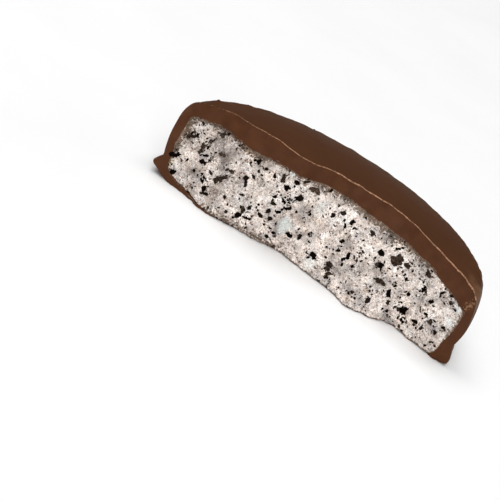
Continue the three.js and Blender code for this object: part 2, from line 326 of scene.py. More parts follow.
def smoothstep(value, low, high):
    """From 0 at low to 1 at high, eased at both ends."""
    share = min(1, max(0, (value - low) / (high - low)))
    return share * share * (3 - 2 * share)


def between(pairs, x):
    """The value of a list of (place, value) at x, eased from one entry to the next."""
    k = 1
    while k < len(pairs) - 1 and x > pairs[k][0]:
        k += 1
    (x0, v0), (x1, v1) = pairs[k - 1], pairs[k]
    return v0 + (v1 - v0) * smoothstep(x, x0, x1)


def crown_height(r):
    """Height of the coat's top, r away from the middle of the disc."""
    return SHOULDER_HEIGHT + CROWN_RISE * (1 - (r / SHOULDER_RADIUS) ** 2)


def core_top(x):
    """Height of the ice cream's top where it shows in the break."""
    return crown_height(abs(x)) - between(COAT_THICKNESS, x)


def inside_core(x, z):
    """How far inside the ice cream's edge a point of the break is. It is less than 0 in the coat."""
    widening = (CORE_RADIUS - CORE_FOOT_RADIUS) * smoothstep(z, NECK_HEIGHT, CORE_WIDEST_HEIGHT)
    side = CORE_FOOT_RADIUS + widening
    return min(side - abs(x - CORE_SHIFT), core_top(x) - z, z - between(BASE_THICKNESS, x))


def break_depth(x, z):
    """Y of the broken face."""
    rise = smoothstep(z, 1, crown_height(min(abs(x), SHOULDER_RADIUS)))
    lower, upper = between(LOWER_EDGE, x), between(UPPER_EDGE, x)
    rough = math.sin(0.9 * x + 1.3 * z) + math.sin(1.7 * x - 0.8 * z + 2) + math.sin(1.1 * z + 0.3 * x)
    return lower + (upper - lower) * rise + BREAK_ROUGHNESS * rough / 2


def rim_waver(angle):
    """A slow waver around the rim, between about -1 and 1."""
    slow = 0.5 * math.sin(2 * angle + 0.7) + 0.3 * math.sin(5 * angle + 2.1)
    return slow + 0.2 * math.sin(9 * angle + 4)


def foot_lift(angle):
    """How far the tip of the foot is lifted off the resting surface, around the rim."""
    left_share = 0.5 - 0.5 * math.cos(angle)
    lift = FOOT_LIFT_RIGHT + (FOOT_LIFT_LEFT - FOOT_LIFT_RIGHT) * left_share
    return max(0, lift + FOOT_WANDER * rim_waver(2 * angle) * math.sin(angle))


def left_bead(angle, z):
    """How much further out the left side of the foot is, where its tip set as a blunt bead."""
    swells = sum(out * math.exp(-((z - height) / reach) ** 2) for out, height, reach in LEFT_BEAD)
    return swells * smoothstep(-math.cos(angle), 0.75, 1)


def coat_point(x, y, z):
    """Moves a point of the round outside to where the real, slightly uneven coat has it."""
    r = math.hypot(x, y)
    if r < REST_RADIUS:
        return x, y, z
    angle = math.atan2(y, x)
    outward = smoothstep(r, REST_RADIUS, WALL_RADIUS)
    waver = ROUNDNESS_WANDER * rim_waver(angle) - BACK_FLATTENING * math.sin(angle) ** 2
    reach = 1 + waver * outward / r
    towards_tip = max(0, 1 - z / NECK_HEIGHT)
    lean = LEAN * min(1, max(-1, (LEAN_PIVOT_HEIGHT - z) / LEAN_REACH))
    lift = foot_lift(angle) * min(1, max(0, (r - REST_RADIUS) / 3)) * towards_tip
    reach += left_bead(angle, z + lift) * outward / r
    return x * reach + lean * outward, y * reach, z + lift


def coat_profile():
    """Radius and height of the outside, from the middle of the base out round the foot and up."""
    base = [(0, 0), (14, 0), (26, 0), (31.5, 0), (33, 0), (35, 0.02)]
    foot = [(36.6, 0.12), (37.35, 0.6), (37.5, 1.3), (37.4, 1.9), (37.08, 2.35)]
    bead = [(37.14, 2.8), (37.1, 3.3), (36.8, 3.9)]
    wall = [(36.62, 4.7), (36.75, 5.9), (37.05, 7.3), (37.25, 9), (37.25, 11), (37.1, 13), (36.82, 14.8)]
    shoulder = [(36.5, 16.2), (35.95, 17.35), (35, 18.05)]
    crown = [(r, crown_height(r)) for r in (33.6, 31, 27, 22, 16.5, 11, 5.5, 0)]
    return base + foot + bead + wall + shoulder + crown


def core_profile():
    """Radius and height of the ice cream, given without the coat over and under it."""
    base = [(r, 0) for r in (0, 16, 28, 32.8, 33.8)]
    side = [(34.25, 0.4), (34.4, 1.4), (34.4, 3), (34.45, NECK_HEIGHT), (34.9, 7), (35.2, 9), (35.2, 10.5)]
    edge = [(r, crown_height(r) - drop) for r, drop in ((35.2, 1.2), (35.15, 0.4), (34.7, 0.02))]
    top = [(r, crown_height(r)) for r in (33.8, 32.4, 28.5, 23, 17.5, 12, 6, 0)]
    return base + side + edge + top


def core_point(x, y, z):
    """Moves a point of the round ice cream to where the uneven coat leaves room for it."""
    if z > CORE_WALL_TOP:
        return x + CORE_SHIFT, y, z - between(COAT_THICKNESS, x)
    return x + CORE_SHIFT, y, z + between(BASE_THICKNESS, x) * max(0, 1 - z / NECK_HEIGHT)


# ---------------------------------------------------------------------------------------------
# Modelling steps that several pieces share.


def select_only(*objects):
    """Selects these objects alone, with the first one active."""
    bpy.ops.object.select_all(action="DESELECT")
    for obj in objects:
        obj.select_set(True)
    bpy.context.view_layer.objects.active = objects[0]


def apply_modifier(obj, kind, **settings):
    """Adds a modifier, sets it up and applies it."""
    select_only(obj)
    modifier = obj.modifiers.new(kind.title(), kind)
    for key, value in settings.items():
        setattr(modifier, key, value)
    bpy.ops.object.modifier_apply(modifier=modifier.name)


def reshape(obj, move):
    """Moves each vertex by a function that takes and gives millimetres."""
    for vertex in obj.data.vertices:
        vertex.co = Vector(move(*(vertex.co / MM))) * MM
    obj.data.update()


def spun_body(name, profile):
    """A closed round body: one vertex is drawn along the profile, and the line is spun about Z."""
    bpy.ops.object.select_all(action="DESELECT")
    bpy.ops.mesh.primitive_plane_add(size=MM)
    body = bpy.context.object
    body.name = name
    points = [Vector((r, 0, z)) * MM for r, z in profile]
    bpy.ops.object.mode_set(mode="EDIT")
    bpy.ops.mesh.merge(type="CENTER")
    bpy.ops.transform.translate(value=points[0])
    for here, there in zip(points, points[1:]):
        bpy.ops.mesh.extrude_region_move(TRANSFORM_OT_translate={"value": there - here})
    bpy.ops.mesh.select_all(action="SELECT")
    bpy.ops.mesh.spin(steps=SPIN_STEPS, angle=2 * math.pi, center=(0, 0, 0), axis=(0, 0, 1))
    bpy.ops.mesh.select_all(action="SELECT")
    bpy.ops.mesh.remove_doubles(threshold=0.001 * MM)
    bpy.ops.mesh.normals_make_consistent(inside=False)
    bpy.ops.object.mode_set(mode="OBJECT")
    return body


def roughen(obj, cell, strength, weight=None, middle=0.5):
    """Displaces obj along its normals by a noise whose features are about cell across. Weight is a
    function of a place in millimetres. Where the noise is at middle, the surface stays."""
    texture = bpy.data.textures.new(obj.name, "CLOUDS")
    texture.noise_scale = cell * MM
    settings = {"texture": texture, "strength": strength * MM, "mid_level": middle}
    if weight:
        group = obj.vertex_groups.new(name="roughened")
        for vertex in obj.data.vertices:
            share = weight(vertex.co / MM)
            if share > 0:
                group.add([vertex.index], share, "REPLACE")
        settings["vertex_group"] = group.name
    apply_modifier(obj, "DISPLACE", **settings)
    obj.vertex_groups.clear()


def break_cutter(name, width, low, high, cell, relief):
    """Everything on the near side of the break, with relief added to the face that it cuts."""
    bpy.ops.object.select_all(action="DESELECT")
    across, up = round(width / cell), round((high - low) / cell)
    bpy.ops.mesh.primitive_grid_add(x_subdivisions=across, y_subdivisions=up, size=MM)
    cutter = bpy.context.object
    cutter.name = name

    def upright(u, v, _):
        x, z = u * width, low + (v + 0.5) * (high - low)
        return x, break_depth(x, z) + relief(x, z), z

    reshape(cutter, upright)
    bpy.ops.object.mode_set(mode="EDIT")
    bpy.ops.mesh.select_all(action="SELECT")
    bpy.ops.mesh.extrude_region_move(TRANSFORM_OT_translate={"value": (0, -CUTTER_REACH * MM, 0)})
    bpy.ops.mesh.select_all(action="SELECT")
    bpy.ops.mesh.normals_make_consistent(inside=False)
    bpy.ops.object.mode_set(mode="OBJECT")
    return cutter


def combine(obj, tool, finish, operation="DIFFERENCE"):
    """Cuts obj with tool, or adds tool to it. The faces that tool leaves on obj have the finish."""
    tool.data.materials.append(finish)
    apply_modifier(
        obj, "BOOLEAN", operation=operation, object=tool, solver="MANIFOLD", material_mode="TRANSFER",
    )
    bpy.data.objects.remove(tool)


def mark(obj, name, value):
    """Stores value, a function of X and height in millimetres, at each vertex."""
    layer = obj.data.attributes.new(name, "FLOAT", "POINT")
    layer.data.foreach_set("value", [value(v.co.x / MM, v.co.z / MM) for v in obj.data.vertices])


def settle(piece, slot, *nodes):
    """Puts a finished piece at its place in the frame, hangs it on the root and hides the imported parts
    that it stands for. The slot, what it rides on, is not used.
    """
    piece.data.transform(Matrix.Translation(DISC_PLACE))
    # What would reach through the surface that the half lies on is pressed flat on it.
    for vertex in piece.data.vertices:
        vertex.co.z = max(vertex.co.z, 0)
    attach(piece, "root")
    if nodes:
        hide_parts(*nodes)


def joined_copies(name, models, places, finish):
    """One object of many copies of the models, which are used up. Each place is (matrix, paleness)."""
    copies = []
    for number, (matrix, paleness) in enumerate(places):
        copy = models[number % len(models)].copy()
        copy.data = copy.data.copy()
        copy.data.transform(matrix)
        tone = copy.data.attributes.new("paleness", "FLOAT", "POINT")
        tone.data.foreach_set("value", [paleness] * len(copy.data.vertices))
        bpy.context.collection.objects.link(copy)
        copies.append(copy)
    for model in models:
        bpy.data.objects.remove(model)
    select_only(*copies)
    bpy.ops.object.join()
    joined = bpy.context.object
    joined.name = joined.data.name = name
    joined.data.materials.append(finish)
    return joined


def placed(place, turn, size):
    """The matrix that scales a model of unit size, turns it about Y and puts it at a place."""
    scaled = Matrix.Diagonal(Vector((*size, 1 / MM)) * MM)
    return Matrix.Translation(Vector(place) * MM) @ Matrix.Rotation(turn, 4, "Y") @ scaled


def unit_size(obj):
    """Scales an object's mesh so that its box is one unit along each axis, and centres it."""
    corners = [vertex.co for vertex in obj.data.vertices]
    low, high = (Vector([pick(c[k] for c in corners) for k in range(3)]) for pick in (min, max))
    grow = Matrix.Diagonal((*(1 / side for side in high - low), 1))
    obj.data.transform(grow @ Matrix.Translation(-(low + high) / 2))


def chip(draws):
    """A ragged chip one unit across, its sides broken flat in several directions."""
    bpy.ops.object.select_all(action="DESELECT")
    bpy.ops.mesh.primitive_ico_sphere_add(subdivisions=2, radius=0.5)
    bpy.ops.object.mode_set(mode="EDIT")
    for _ in range(CHIP_CUTS):
        side = Vector([draws.between(-1, 1) for _ in range(3)]).normalized()
        bpy.ops.mesh.select_all(action="SELECT")
        bpy.ops.mesh.bisect(
            plane_co=side * draws.between(0.25, 0.38), plane_no=side, use_fill=True, clear_outer=True,
        )
    bpy.ops.mesh.select_all(action="SELECT")
    bpy.ops.mesh.quads_convert_to_tris()
    bpy.ops.mesh.subdivide(number_cuts=1)
    bpy.ops.mesh.vertices_smooth(factor=0.2)
    bpy.ops.mesh.remove_doubles(threshold=0.02)
    bpy.ops.object.mode_set(mode="OBJECT")
    made = bpy.context.object
    shift = Vector([draws.between(0, 50) for _ in range(3)])
    coarse, fine = CHIP_UNEVENNESS
    for vertex in made.data.vertices:
        place = vertex.co
        vertex.co *= 1 + coarse * noise.noise(place * 4 + shift) + fine * noise.noise(place * 8 + shift)
    unit_size(made)
    return made


def chip_models(count, chips, draws):
    """Several chips to copy. Where chips is more than one, each is a clump of chips stuck together."""
    models = []
    for _ in range(count):
        parts = []
        for k in range(chips):
            part = chip(draws)
            if chips > 1:
                along = (k + 0.5) / chips - 0.5
                place = Vector((0.9 * along, draws.between(-0.04, 0.04), draws.between(-0.28, 0.28)))
                size = draws.between(0.5, 0.66), 0.8, draws.between(0.55, 0.9), 1
                part.data.transform(Matrix.Translation(place) @ Matrix.Diagonal(size))
            parts.append(part)
        select_only(*parts)
        if chips > 1:
            bpy.ops.object.join()
            unit_size(bpy.context.object)
        models.append(bpy.context.object)
    return models


def grain_models(count, draws):
    """Fine grains to copy, of few faces each."""
    models = []
    for _ in range(count):
        bpy.ops.object.select_all(action="DESELECT")
        bpy.ops.mesh.primitive_ico_sphere_add(subdivisions=1, radius=0.5)
        model = bpy.context.object
        for vertex in model.data.vertices:
            vertex.co *= draws.between(0.6, 1.25)
        models.append(model)
    return models


# ---------------------------------------------------------------------------------------------
# Finishes.


def set_inputs(tree, node, inputs):
    """Sets the inputs of a shader node. Where a value is a socket, it is linked to the input."""
    for key, value in inputs.items():
        if isinstance(value, bpy.types.NodeSocket):
            tree.links.new(value, node.inputs[key])
        else:
            node.inputs[key].default_value = value


def add_node(tree, kind, inputs=None, stops=(), **settings):
    """Adds a shader node with its settings and inputs, and with the colours of a ramp as its stops."""
    made = tree.nodes.new(kind)
    for key, value in settings.items():
        setattr(made, key, value)
    set_inputs(tree, made, inputs or {})
    for k, (place, colour) in enumerate(stops):
        element = made.color_ramp.elements[k] if k < 2 else made.color_ramp.elements.new(place)
        element.position, element.color = place, colour
    return made


def new_material(name):
    """A material with a Principled shader. Gives it, its tree, the shader and Object coordinates."""
    material = bpy.data.materials.new(name)
    material.use_nodes = True
    tree = material.node_tree
    shader = tree.nodes["Principled BSDF"]
    place = add_node(tree, "ShaderNodeTexCoord").outputs["Object"]
    return material, tree, shader, place


def shade(colour, factor):
    """A colour made darker or lighter by a factor."""
    return [min(1, c * factor) for c in colour[:3]] + [1]


def grey(value):
    """A neutral colour, or a factor that is the same for all three channels."""
    return value, value, value, 1


def marked(tree, name):
    """A value that the mesh holds at each vertex under this name."""
    return add_node(tree, "ShaderNodeAttribute", attribute_name=name).outputs["Fac"]


def noise_of(tree, place, size, detail, output="Fac"):
    """A noise with features of about a size in millimetres."""
    inputs = {"Vector": place, "Scale": 1 / (size * MM), "Detail": detail}
    return add_node(tree, "ShaderNodeTexNoise", inputs).outputs[output]


def tones(tree, value, stops):
    """Turns a value into a colour between the stops."""
    return add_node(tree, "ShaderNodeValToRGB", {0: value}, stops=stops).outputs["Color"]


def mixed(tree, under, over, level, blend="MIX"):
    """One colour laid over another, or multiplied with it, as far as level says."""
    return add_node(
        tree, "ShaderNodeMix", {0: level, 6: under, 7: over}, data_type="RGBA", blend_type=blend,
    ).outputs[2]


def computed(tree, operation, *values):
    """The result of a sum with values in a material."""
    return add_node(tree, "ShaderNodeMath", dict(enumerate(values)), operation=operation).outputs[0]


def ramped(tree, value, low, high, most=1):
    """Turns a value from low to high into one from 0 to most."""
    return add_node(
        tree, "ShaderNodeMapRange", {"Value": value, "From Min": low, "From Max": high, "To Max": most},
    ).outputs["Result"]


def relief_of(tree, height, strength, depth):
    """Makes light fall on a surface as if it had fine relief of a depth in millimetres."""
    inputs = {"Height": height, "Strength": strength, "Distance": depth * MM}
    return add_node(tree, "ShaderNodeBump", inputs).outputs["Normal"]


def ragged_level(tree, place, inside, size, reach):
    """How strongly something shows that starts at the edge of the ice cream and ends raggedly, within
    reach millimetres: 0 or 1, with a short ramp between them."""
    uneven = noise_of(tree, place, size, 4)
    limit = ramped(tree, uneven, 0.38, 0.72, reach)
    gap = computed(tree, "SUBTRACT", limit, computed(tree, "ABSOLUTE", inside))
    return ramped(tree, gap, 0, 0.12)


def set_milk_chocolate():
    """Milk chocolate that ran over the ice cream and set: an even satin brown, with a faint cloudiness
    some millimetres across, shallow ripples that only its sheen shows, and a painted highlight: a paler,
    greyer spot painted on the shoulder at the right end of the break, where sheen shows."""
    colour = bpy.context.scene.sandwich.coat.outside
    material, tree, shader, place = new_material("set_milk_chocolate")
    cloud = noise_of(tree, place, 9, 4)
    ripple = noise_of(tree, place, 3.5, 3)
    tint = tones(tree, cloud, ((0.3, shade(colour, 0.92)), (0.7, shade(colour, 1.07))))
    sheen = add_node(tree, "ShaderNodeMapRange", {"Value": cloud, "To Min": 0.5, "To Max": 0.6})
    # The spot made paler below is a painted highlight: the sheen on the shoulder painted into the colour.
    spot = DISC_PLACE + Vector(PAINTED_SHEEN_SPOT) * MM
    away = add_node(tree, "ShaderNodeVectorMath", {0: place, 1: spot}, operation="DISTANCE")
    wander = computed(tree, "MULTIPLY_ADD", ripple, 2 * PAINTED_SHEEN_WANDER * MM, away.outputs["Value"])
    frost_and_painted_sheen = add_node(
        tree, "ShaderNodeMapRange",
        {
            "Value": wander,
            "From Min": (PAINTED_SHEEN_WANDER + PAINTED_SHEEN_RADIUS) * MM,
            "From Max": (PAINTED_SHEEN_WANDER + 0.2 * PAINTED_SHEEN_RADIUS) * MM,
        },
        interpolation_type="SMOOTHSTEP",
    )
    with_painted_sheen = mixed(tree, tint, PAINTED_SHEEN_LIGHTENING, frost_and_painted_sheen.outputs["Result"], "MULTIPLY")
    set_inputs(tree, shader, {
        "Base Color": with_painted_sheen, "Roughness": sheen.outputs["Result"], "IOR": CHOCOLATE_IOR,
        "Specular IOR Level": 0.06, "Normal": relief_of(tree, ripple, 0.12, 0.25),
    })
    return material


def snapped_milk_chocolate():
    """Milk chocolate where it snapped: duller and redder than outside, with a fine crystalline grain,
    and a grey bloom of frost beside the ice cream."""
    colour = bpy.context.scene.sandwich.coat.broken
    material, tree, shader, place = new_material("snapped_milk_chocolate")
    cloud = noise_of(tree, place, 2.5, 5)
    grain = noise_of(tree, place, 0.45, 3)
    tint = tones(tree, cloud, ((0.3, shade(colour, 0.88)), (0.72, shade(colour, 1.12))))
    frost_and_painted_sheen = ragged_level(tree, place, marked(tree, "depth_in_ice"), 0.7, 0.2)
    set_inputs(tree, shader, {
        "Base Color": mixed(tree, tint, linear("75685c"), frost_and_painted_sheen), "Roughness": 0.6, "IOR": CHOCOLATE_IOR,
        "Specular IOR Level": 0.13, "Normal": relief_of(tree, grain, 0.2, 0.1),
    })
    return material


def thin_chocolate_with_painted_glint():
    """Chocolate drawn out to a thin lip, and chips of it: tan, and brown where it is thicker. On the lip
    the tan is a painted highlight, the glint of the sharp broken edge painted into its colour."""
    colour = bpy.context.scene.sandwich.coat.thin_edge_with_painted_glint
    material, tree, shader, place = new_material("thin_chocolate_with_painted_glint")
    patch = noise_of(tree, place, 0.6, 4)
    tint = tones(tree, patch, ((0.35, shade(colour, 0.35)), (0.5, colour[:]), (0.65, shade(colour, 1.3))))
    set_inputs(tree, shader, {"Base Color": tint, "Roughness": 0.5, "IOR": CHOCOLATE_IOR})
    return material


def frozen_cream():
    """Hard ice cream, broken cold: pale, matt and icy. Patches some millimetres across are warmer,
    greyer or whiter, and there are lumps of clear ice and small brown pores. Its crystals and grains
    each have a tone of their own. Dark dust lies between them, in drifts and around crumbs; the extra of it
    on the left and in the upper left corner is painted shade, where less light falls on the break. There is
    a brown smear along the coat, and a yellow stain at the left."""
    cream = bpy.context.scene.sandwich.ice_cream.cream
    material, tree, shader, place = new_material("frozen_cream")

    def pattern(size, detail, stops):
        """A noise with features of a size in millimetres, as colours."""
        return tones(tree, noise_of(tree, place, size, detail), stops)

    def toned(under, over):
        """A colour multiplied by the tones of a pattern."""
        return mixed(tree, under, over, 1.0, "MULTIPLY")

    def level_of(name, grain_size, low, high, most):
        """How strongly a marked area shows, broken up by a noise."""
        grain = noise_of(tree, place, grain_size, 4)
        return ramped(tree, computed(tree, "MULTIPLY", marked(tree, name), grain), low, high, most)

    streaks = noise_of(tree, place, 0.5, 5)
    streaked = computed(tree, "MULTIPLY_ADD", streaks, 2.8, marked(tree, "smear"))
    smear_level = ramped(tree, streaked, 1.76, 2.12)
    bend = noise_of(tree, place, 0.5, 2, "Color")
    bent = add_node(
        tree, "ShaderNodeVectorMath", {0: bend, 1: (0.3 * MM,) * 3, 2: place}, operation="MULTIPLY_ADD",
    ).outputs[0]

    def crystals(size, stops):
        """Irregular crystals about a size in millimetres across, each of its own tone."""
        made = add_node(tree, "ShaderNodeTexVoronoi", {"Vector": bent, "Scale": 1 / (size * MM)})
        return tones(tree, made.outputs["Color"], stops)

    patches = pattern(5, 3, (
        (0.3, linear("aba19c")), (0.43, linear("ddd2cb")), (0.56, cream[:]), (0.7, linear("faf2ec")),
    ))
    tinted = toned(patches, pattern(2.4, 3, ((0.35, (0.97, 1.0, 1.03, 1)), (0.65, (1.03, 1.0, 0.97, 1)))))
    clouded = toned(tinted, pattern(2.1, 3, (
        (0.3, (0.66, 0.63, 0.61, 1)), (0.5, grey(1.02)), (0.68, grey(1.12)),
    )))
    # Ice crystals and the grains between them are a tenth of a millimetre or less across. At that size
    # they wouldn't show, so they are drawn several times as coarse.
    faceted = toned(clouded, crystals(0.9, ((0.25, (0.89, 0.88, 0.87, 1)), (0.75, grey(1.07)))))
    veiled = toned(faceted, pattern(0.8, 5, (
        (0.33, (0.37, 0.3, 0.255, 1)), (0.37, (0.76, 0.71, 0.68, 1)), (0.42, grey(1.0)),
    )))
    whitened = mixed(tree, veiled, linear("f3f5f2"), level_of("icy", 0.6, 0.12, 0.5, 0.9))
    grains = toned(whitened, crystals(0.27, (
        (0.2, (0.62, 0.595, 0.575, 1)), (0.45, grey(1.0)), (0.8, (1.13, 1.155, 1.175, 1)),
    )))
    flecks = toned(grains, pattern(0.14, 2, (
        (0.3, (0.54, 0.505, 0.48, 1)), (0.5, grey(1.03)), (0.7, (1.23, 1.265, 1.28, 1)),
    )))
    # This dust layer also holds painted shade: darker on the left and in the upper left corner.
    dusted_and_shaded = mixed(tree, flecks, linear("594b42"), level_of("cookie_dust_and_painted_shade", 0.3, 0.18, 0.5, 0.75))
    glazed = mixed(tree, dusted_and_shaded, linear("e3e9e4"), level_of("icy", 0.6, 0.12, 0.5, 0.5))
    stained = mixed(tree, glazed, linear("ddd2a6"), level_of("stain", 0.5, 0.1, 0.5, 0.6))
    smeared = mixed(tree, stained, (0.27, 0.215, 0.17, 1), smear_level, "MULTIPLY")
    rim_level = ragged_level(tree, place, marked(tree, "depth_in_ice"), 0.6, 0.25)
    rimmed = mixed(tree, smeared, linear("6a5444"), rim_level)
    set_inputs(tree, shader, {
        "Base Color": rimmed, "Roughness": 0.6, "IOR": 1.31, "Subsurface Weight": 0.1,
        "Subsurface Radius": (1.0, 0.8, 0.7), "Subsurface Scale": 0.4 * MM,
        "Normal": relief_of(tree, noise_of(tree, place, 0.3, 3), 0.6, 0.18),
    })
    return material


def baked_cocoa_cookie():
    """Crushed dark cocoa cookie: nearly black, dull and porous. Crumbs just under the surface are
    veiled by the cream and look grey-brown."""
    settings = bpy.context.scene.sandwich.crumbs
    material, tree, shader, place = new_material("baked_cocoa_cookie")
    pores = noise_of(tree, place, 0.5, 4)
    veiled = mixed(tree, settings.dark[:], settings.pale[:], marked(tree, "paleness"))
    mottle = tones(tree, pores, ((0.4, grey(0.35)), (0.6, (1.4, 1.35, 1.3, 1))))
    set_inputs(tree, shader, {
        "Base Color": mixed(tree, veiled, mottle, 1.0, "MULTIPLY"), "Roughness": 0.85,
        "Specular IOR Level": 0.03, "Normal": relief_of(tree, pores, 0.5, 0.12),
    })
    return material


def matt_paper():
    """The pale seamless paper that the half lies on: even and matt."""
    material, tree, shader, place = new_material("matt_paper")
    fibre = noise_of(tree, place, 40, 2)
    tint = tones(tree, fibre, ((0.3, linear("f3f3f3")), (0.7, linear("f6f6f6"))))
    set_inputs(tree, shader, {"Base Color": tint, "Roughness": 0.9, "Specular IOR Level": 0.1})
    return material


# ---------------------------------------------------------------------------------------------
# The pieces.


def unevenness(x, z, size, layer):
    """A noise between about -1 and 1, with features of about a size in millimetres. No two layers are
    alike."""
    return noise.noise(Vector((x / size, layer, z / size)))


def ragged_foot(x, z):
    """How unevenly the lowest millimetre of the break crumbled, as a depth."""
    uneven = unevenness(x, 0, 1.3, 5) + 0.6 * unevenness(x, 0, 0.5, 6)
    return RAGGED_FOOT_DEPTH * uneven * smoothstep(-z, -1.3, -0.1)


def coat_relief(x, z):
    """The shallow, shell-like waves of snapped chocolate, as a depth. Under the ice cream, the thin
    base coat broke off a little further back."""
    waves = 0.07 * noise.fractal(Vector((x / 3.2, 0, z / 2.1)), 1.0, 2.0, 3)
    under = smoothstep(-z, -0.9, -0.5) * smoothstep(x, -26, -14) * smoothstep(-x, -34, -32.8)
    back = BASE_COAT_SET_BACK * min(1, max(0, 0.7 + unevenness(x, 0, 2.5, 9)))
    return waves + back * under + ragged_foot(x, z)


def torn_relief(x, z):
    """The torn, icy surface of the ice cream, as a depth."""
    depth = bpy.context.scene.sandwich.ice_cream.relief / MM
    place = Vector((x, 0, z))
    lumps = noise.fractal(place / 2.4, 1.0, 2.0, 2)
    clots = noise.noise(place / 0.9)
    grains = noise.noise(place / 0.45)
    pits = max(0, noise.noise(place / 0.6 + Vector((7, 3, 1))) - PIT_RARITY)
    edge = math.exp(-max(0, inside_core(x, z)) / 0.5)
    torn = depth * (lumps + 0.7 * clots + 0.55 * grains) * (1 - 0.6 * edge)
    return torn + PIT_DEPTH * pits + 0.06 * edge + ragged_foot(x, z)


def iciness(x, z):
    """From 1 in the middle of a lump of clear ice down to 0 outside it."""
    return max(
        shown * smoothstep(1.3 * radius - math.hypot(1.35 * (x - px), 0.85 * (z - pz)), 0, 0.9 * radius)
        for px, pz, radius, shown in ICY_LUMPS
    )


def side_share(place):
    """How much the core is roughened at a place: fully, apart from its flat base."""
    return smoothstep(place.z, 0.35, 1.3)


def spun_core(name, levels):
    """The round ice cream, reshaped and roughened. It also hollows the coat."""
    core = spun_body(name, core_profile())
    reshape(core, core_point)
    apply_modifier(core, "SUBSURF", levels=levels, render_levels=levels)
    roughen(core, cell=2.4, strength=0.7, weight=side_share)
    return core


class SANDWICH_OT_coat(bpy.types.Operator):
    """Model the chocolate coat: spun round, reshaped, hollowed and broken"""

    bl_idname = "sandwich.coat"
    bl_label = "Chocolate Coat"

    def execute(self, context):
        coat = spun_body("chocolate_coat", coat_profile())
        reshape(coat, coat_point)
        apply_modifier(coat, "SUBSURF", levels=2, render_levels=2)
        roughen(coat, cell=11, strength=0.18)
        roughen(coat, cell=3.2, strength=0.45, weight=self.shoulder_share)
        roughen(coat, cell=1.3, strength=0.55, weight=self.foot_share)
        finish = set_milk_chocolate()
        coat.data.materials.append(finish)
        for x, y, z, radius in PIMPLES:
            bpy.ops.object.select_all(action="DESELECT")
            middle = Vector((x, y, z)) * MM
            bpy.ops.mesh.primitive_ico_sphere_add(subdivisions=3, radius=radius * MM, location=middle)
            combine(coat, context.object, finish, "UNION")
        combine(coat, spun_core("hollow", 1), finish)
        cutter = break_cutter("coat_cutter", width=84, low=-2, high=25, cell=0.35, relief=coat_relief)
        combine(coat, cutter, snapped_milk_chocolate())
        mark(coat, "depth_in_ice", inside_core)
        select_only(coat)
        bpy.ops.object.shade_smooth_by_angle(angle=math.radians(SHARP_ANGLE))
        settle(coat, "chocolate", "chocolate_coating")
        return {"FINISHED"}

    def shoulder_share(self, place):
        """How much the shoulder is roughened at a place: only where the coat turns over to the side."""
        return smoothstep(place.z, 15.5, 16.8) * smoothstep(-place.z, -19, -18)

    def foot_share(self, place):
        """How much the foot is roughened at a place: most at its tip, and not where it rests."""
        low = smoothstep(place.z, 0.02, 0.4) * smoothstep(-place.z, -3.1, -1.9)
        return low * smoothstep(place.xy.length, 34.5, 36.5)


class SANDWICH_OT_ice_cream(bpy.types.Operator):
    """Model the ice cream filling with its torn, icy broken face"""

    bl_idname = "sandwich.ice_cream"
    bl_label = "Ice Cream"

    def execute(self, context):
        filling = spun_core("ice_cream_filling", 2)
        roughen(filling, cell=0.9, strength=0.35, weight=side_share, middle=0.3)
        finish = frozen_cream()
        filling.data.materials.append(finish)
        cutter = break_cutter("cream_cutter", width=74, low=-0.5, high=21, cell=0.19, relief=torn_relief)
        combine(filling, cutter, finish)
        mark(filling, "depth_in_ice", inside_core)
        mark(filling, "smear", self.smear)
        mark(filling, "icy", iciness)
        mark(filling, "stain", self.stain)
        mark(filling, "cookie_dust_and_painted_shade", self.dust_and_painted_shade())
        select_only(filling)
        bpy.ops.object.shade_smooth()
        settle(filling, "ice_cream", "ice_cream")
        return {"FINISHED"}

    def smear(self, x, z):
        """How strongly chocolate and dust are smeared over a point: fully beside the coat, and less as
        far as the smear reaches."""
        sides = (x - CORE_SHIFT + CORE_RADIUS, SMEAR_LEFT), (CORE_RADIUS + CORE_SHIFT - x, SMEAR_RIGHT)
        over = core_top(x) - z, between(SMEAR_UNDER_TOP, x)
        under = z - between(BASE_THICKNESS, x), between(SMEAR_OVER_BASE, x)
        return max(
            most * min(1, max(0, 1.2 - distance / reach))
            for most, (distance, reach) in zip(SMEAR_MOST, (*sides, over, under))
        )

    def stain(self, x, z):
        """How yellow the ice cream is: most at one spot of the left wall, and a little above it."""
        across, up = (x - STAIN_SPOT[0]) / STAIN_REACH[0], (z - STAIN_SPOT[1]) / STAIN_REACH[1]
        spot = math.exp(-across ** 2 - up ** 2)
        wall = 0.6 * smoothstep(-x, 33.2, 35.2) * smoothstep(z, 9, 12)
        return max(spot, wall)

    def dust_and_painted_shade(self):
        """A function for how much cookie dust lies at a point of the break, with painted shade in it: more
        near pale crumbs and in drifts, and more on the left and in the upper left corner, where it is
        painted shade."""
        crumbs = crumb_places()
        tree = kdtree.KDTree(len(crumbs))
        for k, (x, z, *_) in enumerate(crumbs):
            tree.insert((x, 0, z), k)
        tree.balance()

        def dust(x, z):
            _, k, distance = tree.find((x, 0, z))
            length, paleness = crumbs[k][2], crumbs[k][5]
            near = math.exp(-max(0, distance - length / 2) / 0.5) * paleness
            # Painted shade: the upper left corner is made darker, as if it held more dust.
            corner = PAINTED_SHADE_IN_CORNER * smoothstep(z, 11, 15) * smoothstep(-x, 24, 29)
            drift = between(DUST_AND_PAINTED_SHADE, x) + corner + DUST_DRIFT * unevenness(x, z, 4, 2)
            return min(1, DUST_NEAR_CRUMBS * near + max(0, drift))

        return dust


